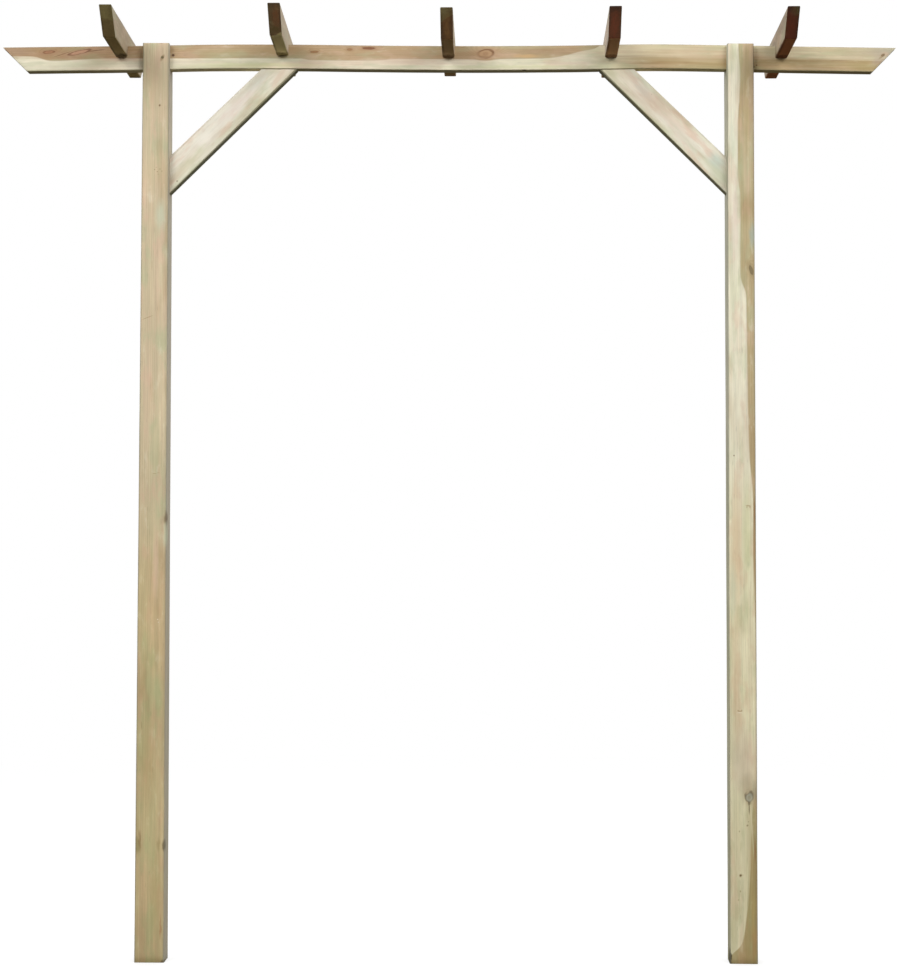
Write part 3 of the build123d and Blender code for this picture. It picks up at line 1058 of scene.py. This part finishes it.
beam_mat = timber(
    "timber_beam", 3.0, (0.045, 0.010, 0.006, 0.0), ring=0.0036, axis=(1, 0, 0),
    contrast=0.44, tint=0.42, length=(-BEAM_L / 2, BEAM_L / 2), mottle=0.9,
    half=(BEAM_H / 2, BEAM_T / 2), sap=srgb(241, 232, 208), sap_late=srgb(228, 217, 184),
    heart=srgb(189, 162, 126), heart_late=srgb(154, 122, 87), heart_mask=beam_heart,
    end=srgb(212, 200, 176), end_mix=0.70,
    tone_and_shade=[(0.0, 0.77), (0.12, 0.79), (0.2, 0.82), (0.62, 0.82), (0.72, 0.82), (1.0, 0.82)],
    washes_and_shade=[{"c": (0.82, 0.76, 0.70), "along": [(0.0, 0.75), (0.10, 1.0), (0.14, 0.8),
                                                (0.20, 0.15), (0.26, 0.0), (1.0, 0.0)],
             "across": (-0.004, 0.004)},
            {"c": (1.02, 1.05, 1.00), "along": [(0.0, 0.0), (0.64, 0.0), (0.74, 0.8),
                                                (1.0, 0.95)], "across": (0.006, -0.012)},
            {"c": (0.92, 0.92, 0.83), "along": [(0.0, 0.0), (0.62, 0.0), (0.74, 1.0),
                                                (1.0, 1.0)]}],
    edges=[(1, 0.0050, 0.40, srgb(146, 132, 110)), (-1, 0.0050, 0.35, srgb(176, 170, 112))],
    # side faces: the underside tinted darker olive, partly the wood's colour and partly painted shade; the
    # top a little darker
    side_colour_and_painted_light=[(-1, 0.60, srgb(206, 196, 156)), (1, 0.25, srgb(150, 140, 118))],
    grey=0.5,
    knots=[
        {"at": (0.0180, -0.016, -1.0545), "r": (0.0042, 0.012, 0.0150), "flow": 0.008,
         "turn": 0.10, "c": srgb(164, 116, 84), "c2": srgb(104, 64, 42), "mix": 0.85,
         "rim": 0.85, "rim_c": srgb(84, 46, 30), "halo": 0.40,
         "halo_c": srgb(164, 122, 92), "turns": 9.0},
        {"at": (0.0170, -0.016, -0.9739), "r": (0.0045, 0.010, 0.0290), "flow": 0.008,
         "turn": 0.22, "c": srgb(196, 154, 126), "c2": srgb(178, 132, 104), "mix": 0.85,
         "rim": 0.85, "rim_c": srgb(84, 50, 34), "halo": 0.30,
         "halo_c": srgb(172, 128, 100)},
        {"at": (0.0132, -0.016, -0.3540), "r": (0.0030, 0.010, 0.0110), "flow": 0.005,
         "c": srgb(148, 104, 68), "c2": srgb(110, 72, 44), "mix": 0.8, "rim": 0.4,
         "halo": 0.30, "halo_c": srgb(172, 134, 92)},
        {"at": (0.0207, -0.016, -0.2606), "r": (0.0032, 0.010, 0.0070), "flow": 0.004,
         "c": srgb(164, 118, 84), "c2": srgb(130, 88, 58), "mix": 0.7, "rim": 0.3,
         "halo": 0.25},
        {"at": (0.0245, -0.016, -0.2104), "r": (0.0034, 0.012, 0.0160), "flow": 0.006,
         "c": srgb(118, 72, 48), "c2": srgb(80, 48, 32), "mix": 0.9, "rim": 0.5,
         "halo": 0.35, "halo_c": srgb(160, 112, 78)},
        {"at": (0.0115, -0.016, 0.0990), "r": (0.0115, 0.020, 0.0210), "flow": 0.012,
         "turn": 0.12, "c": srgb(192, 158, 120), "c2": srgb(150, 106, 72), "mix": 0.75,
         "turns": 8.0, "rim": 0.85, "rim_c": srgb(96, 58, 38), "halo": 0.30,
         "halo_c": srgb(176, 136, 98)},
        {"at": (0.0124, -0.016, 1.1470), "r": (0.0030, 0.010, 0.0054), "flow": 0.004,
         "turn": 0.45, "c": srgb(112, 92, 56), "c2": srgb(88, 70, 40), "mix": 0.80,
         "rim": 0.35, "halo": 0.18, "halo_c": srgb(176, 146, 112)},
    ],
    patches=[
        patch(-0.0180, -0.9800, 0.008, 0.090, srgb(198, 198, 164), 0.45, y=-0.016),
        patch(-0.0150, -0.7700, 0.010, 0.040, srgb(186, 192, 168), 0.50, y=-0.016),
        # painted shadow: a soft brown smear on the beam's face just under the first rafter
        patch(-0.0020, -0.8600, 0.006, 0.060, srgb(206, 168, 138), 0.45, y=-0.016),
        patch(-0.0230, -0.5000, 0.006, 0.160, srgb(214, 214, 160), 0.50, y=-0.016),
        patch(-0.0100, -0.1500, 0.006, 0.090, srgb(226, 206, 184), 0.45, y=-0.016),
        patch(-0.0240, 0.2000, 0.005, 0.200, srgb(206, 208, 158), 0.50, y=-0.016),
        patch(0.0120, -0.6000, 0.012, 0.060, srgb(184, 176, 132), 0.35, y=-0.016),
        patch(0.0150, -0.4500, 0.012, 0.050, srgb(176, 142, 98), 0.40, y=-0.016),
        patch(0.0140, 0.0100, 0.014, 0.050, srgb(168, 140, 98), 0.40, y=-0.016),
        patch(0.0150, 0.2700, 0.012, 0.070, srgb(150, 118, 82), 0.45, y=-0.016),
        patch(0.0060, 0.2050, 0.004, 0.030, srgb(214, 174, 122), 0.55, y=-0.016),
        patch(0.0090, 0.6600, 0.016, 0.080, srgb(208, 182, 152), 0.40, y=-0.016),
        patch(-0.0150, 0.7550, 0.012, 0.030, srgb(164, 130, 94), 0.45, y=-0.016),
        patch(0.0150, 0.8600, 0.014, 0.030, srgb(170, 166, 138), 0.45, y=-0.016),
        patch(-0.0100, 0.9500, 0.006, 0.110, srgb(164, 142, 98), 0.40, y=-0.016),
        patch(0.0220, 1.1500, 0.012, 0.040, srgb(176, 168, 152), 0.65, y=-0.016),
        patch(0.0180, 1.0900, 0.014, 0.060, srgb(184, 164, 138), 0.45, y=-0.016),
        patch(-0.0050, 1.1350, 0.014, 0.016, srgb(176, 158, 144), 0.50, turn=0.75, y=-0.016),
        patch(-0.0200, 1.1000, 0.012, 0.040, srgb(174, 156, 106), 0.55, y=-0.016),
        patch(0.0160, 1.1530, 0.005, 0.010, srgb(206, 178, 152), 0.50, y=-0.016),
        patch(0.0070, 1.1390, 0.0022, 0.0060, srgb(140, 116, 74), 0.55, turn=0.9, y=-0.016),
        patch(0.0200, -1.1450, 0.010, 0.040, srgb(170, 142, 122), 0.45, y=-0.016),
    ],
    marks=[
        mark(-0.0198, 0.8136, 0.0018, 0.0022, srgb(110, 78, 48), 0.75, y=-0.016),
        mark(0.0054, -0.7262, 0.0034, 0.0036, srgb(72, 40, 26), 0.8, y=-0.016),
        mark(-0.0248, 0.8054, 0.0026, 0.0030, srgb(72, 46, 30), 0.8, y=-0.016),
        mark(-0.0327, 0.2010, 0.0020, 0.0060, srgb(48, 34, 18), 0.8, y=-0.016),
        mark(0.0210, -0.9300, 0.0007, 0.0240, srgb(84, 50, 34), 0.8, turn=0.12, y=-0.016),
        mark(0.0125, -1.0180, 0.0007, 0.0220, srgb(96, 58, 40), 0.7, turn=0.30, y=-0.016),
        mark(0.0052, 0.0960, 0.0007, 0.0130, srgb(96, 58, 40), 0.6, y=-0.016),
        mark(0.0170, 0.1150, 0.0007, 0.0090, srgb(110, 70, 48), 0.6, turn=-0.4, y=-0.016),
        mark(0.0012, 0.4700, 0.0008, 0.0500, srgb(150, 116, 74), 0.5, y=-0.016),
        mark(-0.0180, 0.5400, 0.0008, 0.0600, srgb(144, 108, 66), 0.5, y=-0.016),
        mark(-0.0030, 1.0200, 0.0008, 0.0500, srgb(140, 104, 66), 0.5, y=-0.016),
    ])

RAFTER_LOOKS = (
    # sap, heart, end, what lies above the split on the front end, split, tone
    (srgb(186, 170, 142), srgb(158, 138, 108), srgb(124, 104, 58), srgb(140, 126, 76),
     (0.004, -0.25), 0.78),
    (srgb(206, 194, 170), srgb(176, 158, 130), srgb(190, 172, 116), srgb(94, 56, 22),
     (-0.0316, 0.38), 0.80),
    (srgb(196, 182, 156), srgb(168, 148, 118), srgb(116, 76, 38), srgb(136, 118, 70),
     (0.0105, 0.54), 0.78),
    (srgb(204, 192, 172), srgb(178, 162, 142), srgb(112, 60, 26), srgb(104, 54, 22),
     (0.010, 0.20), 0.80),
    (srgb(168, 152, 128), srgb(146, 126, 100), srgb(98, 44, 18), srgb(96, 44, 18),
     (0.006, 0.40), 0.76),
)
# how each one's underside and end grain differ from that: the underside's colour and strength, partly the
# wood's own hue and partly painted light that lifts the shaded underside, then spots at (up, across) of the
# section
RAFTER_UNDER_COLOUR_AND_LIGHT = ((srgb(190, 166, 100), 0.60), (srgb(240, 224, 164), 0.88),
                (srgb(206, 166, 112), 0.80), (srgb(212, 150, 96), 0.80),
                (srgb(186, 110, 62), 0.80))
RAFTER_SPOTS = (
    ((0.020, -0.004, 0.014, 0.010, srgb(160, 146, 92), 0.55),
     (-0.010, -0.0165, 0.024, 0.0045, srgb(62, 46, 18), 0.85),
     (-0.028, 0.004, 0.007, 0.010, srgb(98, 80, 36), 0.50)),
    ((0.006, 0.0040, 0.022, 0.0100, srgb(134, 76, 32), 0.75),
     (0.002, -0.0170, 0.036, 0.0070, srgb(76, 68, 36), 0.90),
     (-0.002, 0.0140, 0.020, 0.0024, srgb(44, 18, 8), 0.85),
     (0.0320, 0.0000, 0.006, 0.020, srgb(72, 62, 38), 0.75),
     (-0.0210, -0.0020, 0.006, 0.014, srgb(88, 74, 28), 0.85)),
    ((-0.014, 0.0000, 0.030, 0.0080, srgb(152, 108, 54), 0.65),
     (-0.008, -0.0170, 0.022, 0.0070, srgb(50, 34, 20), 0.90),
     (-0.004, 0.0170, 0.028, 0.0055, srgb(84, 58, 34), 0.70),
     (-0.030, -0.0080, 0.005, 0.0090, srgb(60, 34, 14), 0.50),
     (0.026, -0.0060, 0.008, 0.0100, srgb(150, 142, 96), 0.45)),
    ((-0.006, -0.0010, 0.032, 0.0110, srgb(142, 62, 28), 0.75),
     (0.0320, -0.0030, 0.010, 0.022, srgb(58, 34, 18), 0.85),
     (0.010, -0.0170, 0.022, 0.0045, srgb(48, 24, 12), 0.85),
     (0.000, 0.0170, 0.036, 0.0060, srgb(84, 54, 24), 0.85)),
    ((-0.004, -0.0030, 0.034, 0.0110, srgb(120, 46, 20), 0.70),
     (0.0280, 0.0080, 0.010, 0.0110, srgb(96, 92, 52), 0.80),
     (-0.008, 0.0170, 0.026, 0.0045, srgb(38, 18, 8), 0.90),
     (0.0300, -0.0120, 0.008, 0.0070, srgb(56, 30, 14), 0.70)),
)
# the sawn notch's shadowed end of each underside, and its darker left arris
RAFTER_LOW = (srgb(44, 26, 6), srgb(96, 72, 26), srgb(90, 56, 30), srgb(70, 40, 20),
              srgb(60, 26, 10))
PITHS = ((0.018, 0.030), (-0.022, 0.024), (0.026, -0.026), (-0.016, -0.030),
         (0.010, 0.034))
rafter_mats = []
for i, (sap_, heart_, end_, upper_, (at_, slope_), tone_) in enumerate(RAFTER_LOOKS):
    rafter_mats.append(timber(
        "timber_rafter_%d" % (i + 1), 4.0 + i, PITHS[i] + (0.0, 0.0), ring=0.0030,
        wander=0.004, axis=(0, 1, 0), heart_all=0.7, contrast=0.42, tint=0.30,
        sap=sap_, heart=heart_, sap_late=tuple(c * 0.75 for c in sap_),
        heart_late=tuple(c * 0.7 for c in heart_), end=end_, end_mix=0.92,
        end_split=(at_, slope_, upper_), half=(RAFTER_H / 2, RAFTER_T / 2),
        length=(-RAFTER_L / 2, RAFTER_L / 2), tone_and_shade=[(0.0, tone_), (1.0, tone_)],
        edges=[(-1, 0.006, 0.35, srgb(120, 104, 72)), (1, 0.009, 0.50, srgb(150, 146, 138))],
        # painted light: the underside takes a raised colour, partly the wood's hue, to stand in for light
        # from below
        side_colour_and_painted_light=[(-1, RAFTER_UNDER_COLOUR_AND_LIGHT[i][1], RAFTER_UNDER_COLOUR_AND_LIGHT[i][0])], grey=0.4,
        end_spots=RAFTER_SPOTS[i],
        patches=[
            patch(-0.0334, -0.0290, 0.0030, 0.0200, RAFTER_LOW[i], 0.75, y=0.0, ry=0.030),
            patch(-0.0334, -0.1200, 0.0030, 0.1100, RAFTER_LOW[i], 0.70, y=-0.0165,
                  ry=0.0055),
            patch(-0.0334, 0.0290, 0.0030, 0.0200, RAFTER_LOW[i], 0.60, y=0.0, ry=0.030)],
        knots=[{"at": (0.012 - 0.006 * i, 0.016 - 0.008 * (i % 2), 0.12 - 0.05 * i),
                "r": (0.006, 0.03, 0.008), "flow": 0.006, "c": srgb(126, 92, 58),
                "c2": srgb(90, 62, 38), "mix": 0.75, "rim": 0.5, "halo": 0.25}]))

c45 = math.sqrt(0.5)
brace_mats = {
    "left": timber(
        "timber_brace_left", 11.0, (0.06, 0.05, 0.0, 0.0), ring=0.0042,
        axis=(c45, 0, c45), contrast=0.20, tint=0.42, end_mix=0.5, fibre=0.6,
        mottle=1.2, sap=srgb(232, 226, 210), sap_late=srgb(221, 210, 184),
        half=(DEEP / 2, BRACE_T / 2), length=(-0.24, 0.24),
        tone_and_shade=[(0.0, 0.84), (0.5, 0.83), (1.0, 0.83)],
        edges=[(-1, 0.010, 0.40, srgb(190, 192, 150)), (1, 0.004, 0.35, srgb(226, 214, 196))],
        # painted shade: the underside dark olive
        side_colour_and_painted_light=[(-1, 0.75, srgb(104, 102, 62))], grey=0.3,
        patches=[
            patch(0.0040, -0.0695, 0.012, 0.022, srgb(242, 236, 222), 0.65, y=-0.016),
            patch(-0.0120, -0.1500, 0.012, 0.050, srgb(212, 204, 172), 0.45, y=-0.016),
            patch(0.0060, 0.0600, 0.012, 0.060, srgb(232, 216, 206), 0.45, y=-0.016),
            patch(0.0140, 0.1500, 0.010, 0.040, srgb(206, 208, 194), 0.45, y=-0.016),
            patch(-0.0080, -0.0950, 0.008, 0.014, srgb(206, 206, 174), 0.45, y=-0.016),
            # painted shade where the top end runs in under the beam
            patch(0.0, 0.2000, 0.030, 0.030, srgb(206, 190, 164), 0.45, y=-0.016),
        ],
        marks=[mark(-0.0233, -0.1985, 0.0018, 0.0020, srgb(120, 96, 62), 0.7, y=-0.016),
               mark(-0.0150, 0.0150, 0.0010, 0.0016, srgb(176, 160, 128), 0.5, y=-0.016)]),
    "right": timber(
        "timber_brace_right", 12.0, (-0.07, 0.04, 0.0, 0.0), ring=0.0042,
        axis=(-c45, 0, c45), contrast=0.20, tint=0.45, end_mix=0.5, fibre=0.6,
        mottle=1.3, sap=srgb(232, 226, 208), sap_late=srgb(219, 210, 182),
        half=(DEEP / 2, BRACE_T / 2), length=(-0.24, 0.24),
        tone_and_shade=[(0.0, 0.79), (0.5, 0.80), (1.0, 0.82)],
        edges=[(-1, 0.010, 0.40, srgb(190, 192, 150)), (1, 0.005, 0.40, srgb(214, 202, 186))],
        # painted shade: the underside dark olive
        side_colour_and_painted_light=[(-1, 0.75, srgb(104, 102, 62))], grey=0.3,
        patches=[
            patch(0.0100, -0.1565, 0.014, 0.022, TEAL, 0.60, y=-0.016),
            patch(-0.0060, -0.1900, 0.020, 0.030, srgb(196, 200, 172), 0.50, y=-0.016),
            patch(0.0050, 0.1150, 0.010, 0.030, srgb(198, 196, 180), 0.45, y=-0.016),
            patch(0.0020, 0.0450, 0.014, 0.040, srgb(206, 190, 168), 0.40, y=-0.016),
            patch(-0.0080, -0.0300, 0.014, 0.050, srgb(222, 206, 190), 0.45, y=-0.016),
            # painted shade where the top end runs in under the beam
            patch(0.0, 0.2000, 0.030, 0.034, srgb(204, 194, 160), 0.40, y=-0.016),
        ],
        marks=[mark(0.0150, 0.0900, 0.0012, 0.0014, srgb(170, 156, 122), 0.5, y=-0.016)]),
}
screw_mat = screw_material()

# ---- pieces ----------------------------------------------------------------
h = POST / 2
screws_at = []      # (name, point, outward direction) in the row frame


def world(place, at, no):
    return place @ Vector(at), (place.to_3x3() @ Vector(no)).normalized()


for i, name in enumerate(POSTS):
    xc = 0.0 if i == 0 else SPACING
    at, no = (0.0165, -h, 2.3620), (0, -1, 0)
    if i == 1:
        at, no = (-0.0165, h, 2.3620), (0, 1, 0)
    mesh = post_mesh(name + "_timber", 1.0 + i, xc, [(at, no)])
    add_piece(name + "_timber", mesh, name,
              post_left_mat if i == 0 else post_right_mat)
    screws_at.append((name, *world(Matrix.Translation((xc, 0, 0)), at, no)))

mesh = beam_mesh("beam_timber", 3.0, [])
add_piece("beam_timber", mesh, "beam", beam_mat)

for i, name in enumerate(RAFTERS):
    xc, lift, tilt, yaw = RAFTER_SITS[i]
    at, no = (RAFTER_H / 2, 0.0008 * (i - 2), 0.0012 * ((i * 7) % 5 - 2)), (1, 0, 0)
    mesh, place = rafter_mesh(name + "_timber", 5.0 + i, xc, lift, tilt, yaw,
                              [(at, no)])
    add_piece(name + "_timber", mesh, name, rafter_mats[i])
    screws_at.append((name, *world(place, at, no)))

for side in ("left", "right"):
    name = "brace_" + side
    lo = LEG * math.sqrt(0.5)
    pts = [((-DEEP / 2, 0, -lo + 0.034), (-1, 0, 0)),
           ((-DEEP / 2, 0, lo - 0.034), (-1, 0, 0))]
    mesh, place = brace_mesh(name + "_timber", 11.0 if side == "left" else 12.0, side,
                             pts)
    add_piece(name + "_timber", mesh, name, brace_mats[side])
    for k, (at, no) in enumerate(pts):
        screws_at.append((name + "_%d" % (k + 1), *world(place, at, no)))


def screw_mesh():
    """A countersunk head with a cross recess, its rim at z = 0."""
    bm = lathe([(0, -0.0032), (0.0017, -0.0032), (0.0034, -0.0003), (0.0035, 0.0),
                (0.0033, 0.00012), (0, 0.0002)], 32)
    mesh = bpy.data.meshes.new("screw")
    bm.to_mesh(mesh)
    bm.free()
    cutters = []
    for k in range(2):
        b = bmesh.new()
        bmesh.ops.create_cube(b, size=1.0)
        for vtx in b.verts:
            top = vtx.co.z > 0
            vtx.co.x *= 0.0046 if top else 0.0016
            vtx.co.y *= 0.00092 if top else 0.0006
            vtx.co.z = 0.0006 if top else -0.0019
        m = bpy.data.meshes.new("slot")
        b.to_mesh(m)
        b.free()
        m.transform(Matrix.Rotation(math.pi / 2 * k + 0.0001, 4, "Z"))
        cutters.append(scratch(m))
    mesh = cut_with(mesh, cutters)
    for poly in mesh.polygons:
        poly.use_smooth = True
    mesh.set_sharp_from_angle(angle=math.radians(30))
    return mesh


base = screw_mesh()
for k, (name, at, no) in enumerate(screws_at):
    m = base.copy()
    turn = Matrix.Rotation(0.9 * k + 0.3, 4, "Z")
    m.transform(turned_to(no, at - no * (SINK_D - 0.0001)) @ turn)
    m.name = "screw_" + name
    add_piece("screw_" + name, m, None, screw_mat)
bpy.data.meshes.remove(base)


# ---------------------------------------------------------------------------
# stage: pale floor, soft light, the photo's camera
# ---------------------------------------------------------------------------
def stage_material(name, emission, lit):
    """Pale and even: part of it takes the light and the shadows, the rest glows,
    and far away it is all one white."""
    mat = bpy.data.materials.new(name)
    mat.use_nodes = True
    t = mat.node_tree
    t.nodes.clear()
    g = Nodes(t)
    pos = g.new("ShaderNodeNewGeometry").outputs["Position"]
    x, y, z = g.parts(pos)
    dx = g.sub(x, MID)
    d = g.math("SQRT", g.add(g.mul(dx, dx), g.mul(y, y)))
    n = g.noise(g.stretch(pos, (2.2, 2.2, 2.2)), 3.0).outputs["Fac"]
    c = g.ramp(n, 0.3, 0.7, lit * 0.985, lit, smooth=False)
    diff = g.new("ShaderNodeBsdfDiffuse")
    g.to(diff.inputs["Color"], g.vec(c, c, c))
    em = g.new("ShaderNodeEmission")
    em.inputs["Color"].default_value = (1, 1, 1, 1)
    em.inputs["Strength"].default_value = emission
    both = g.new("ShaderNodeAddShader")
    t.links.new(diff.outputs[0], both.inputs[0])
    t.links.new(em.outputs[0], both.inputs[1])
    white = g.new("ShaderNodeEmission")
    white.inputs["Color"].default_value = (1, 1, 1, 1)
    white.inputs["Strength"].default_value = 1.0
    mix = g.new("ShaderNodeMixShader")
    g.to(mix.inputs[0], g.ramp(d, 1.6, 6.0))
    t.links.new(both.outputs[0], mix.inputs[1])
    t.links.new(white.outputs[0], mix.inputs[2])
    out = g.new("ShaderNodeOutputMaterial")
    t.links.new(mix.outputs[0], out.inputs[0])
    return mat


bm = bmesh.new()
rings = [0.5, 1.0, 2.0, 4.0, 8.0, 14.0, 20.0, 26.0]
rows = [[bm.verts.new((r * math.cos(math.tau * k / 96), r * math.sin(math.tau * k / 96), 0.0))
         for k in range(96)] for r in rings]
centre = bm.verts.new((0, 0, 0))
for k in range(96):
    bm.faces.new((centre, rows[0][k], rows[0][(k + 1) % 96]))
# the backdrop curves up from the floor and closes overhead
for step in range(1, 25):
    a = math.pi / 2 * step / 24
    r, z = 26.0 * math.cos(a) ** 0.8, 26.0 * math.sin(a)
    if step == 24:
        break
    rows.append([bm.verts.new((r * math.cos(math.tau * k / 96),
                               r * math.sin(math.tau * k / 96), z)) for k in range(96)])
for a, b in zip(rows, rows[1:]):
    for k in range(96):
        j = (k + 1) % 96
        bm.faces.new((a[k], b[k], b[j], a[j]))
crown = bm.verts.new((0, 0, 26.0))
for k in range(96):
    bm.faces.new((rows[-1][k], crown, rows[-1][(k + 1) % 96]))
bmesh.ops.recalc_face_normals(bm, faces=bm.faces)
floor_mesh = bpy.data.meshes.new("floor")
bm.to_mesh(floor_mesh)
bm.free()
for poly in floor_mesh.polygons:
    poly.use_smooth = True
floor = link(bpy.data.objects.new("floor", floor_mesh))
floor.location = (MID, 0, 0)
floor_mesh.materials.append(stage_material("studio_floor", 0.66, 0.30))
# the stage is there for the camera only: the light on the timber comes from
# the soft sky and the lamps, so its undersides stay in shade
floor.visible_diffuse = False
floor.visible_glossy = False
floor.visible_transmission = False
floor.visible_shadow = False
floor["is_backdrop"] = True

w = bpy.data.worlds.new("soft_sky")
scene.world = w
w.use_nodes = True
t = w.node_tree
t.nodes.clear()
g = Nodes(t)
tc = g.new("ShaderNodeTexCoord").outputs["Generated"]
x, y, z = g.parts(tc)
sky = g.mix(g.ramp(z, -0.12, 0.10), (0.085, 0.077, 0.058), (0.74, 0.75, 0.77))
sky = g.mix(g.ramp(z, 0.1, 0.9), sky, (0.90, 0.90, 0.90))
bg = g.new("ShaderNodeBackground")
g.to(bg.inputs["Color"], sky)
bg.inputs["Strength"].default_value = 1.0
out = g.new("ShaderNodeOutputWorld")
t.links.new(bg.outputs[0], out.inputs[0])


def area(name, at, aim, size, power, colour=(1, 1, 1)):
    data = bpy.data.lights.new(name, "AREA")
    data.shape = "RECTANGLE"
    data.size, data.size_y = size
    data.energy = power
    data.color = colour
    obj = link(bpy.data.objects.new(name, data))
    obj.location = at
    obj.rotation_mode = "QUATERNION"
    obj.rotation_quaternion = (Vector(aim) - Vector(at)).to_track_quat("-Z", "Y")
    return obj


area("key_left", (MID - 4.2, -5.4, 5.4), (MID, 0, 1.3), (4.0, 3.4), 270)
area("key_right", (MID + 4.2, -5.4, 5.4), (MID, 0, 1.3), (4.0, 3.4), 245)
area("back", (MID, 4.2, 5.6), (MID, 0, 1.4), (4.0, 2.4), 170)

cam_data = bpy.data.cameras.new("camera")
cam = link(bpy.data.objects.new("camera", cam_data))
F_PX = 2100.0
YAW, PITCH, ROLL = -0.0030, 0.0432, 0.0017
cam_data.sensor_fit = "AUTO"
cam_data.sensor_width = 36.0
cam_data.lens = F_PX * 36.0 / 967.0
fwd = Vector((math.sin(YAW) * math.cos(PITCH), math.cos(YAW) * math.cos(PITCH),
              math.sin(PITCH)))
right = Vector((math.cos(YAW), -math.sin(YAW), 0))
upv = right.cross(fwd)
r2 = right * math.cos(ROLL) + upv * math.sin(ROLL)
u2 = -right * math.sin(ROLL) + upv * math.cos(ROLL)
cam.matrix_world = Matrix((
    (r2.x, u2.x, -fwd.x, 0.7883), (r2.y, u2.y, -fwd.y, -5.5057),
    (r2.z, u2.z, -fwd.z, 1.0037), (0, 0, 0, 1)))
cam_data.clip_start, cam_data.clip_end = 0.05, 500
scene.camera = cam
scene.view_settings.view_transform = "Standard"
scene.view_settings.look = "None"

bpy.context.view_layer.update()
lo, hi = [list(c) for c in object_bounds()]
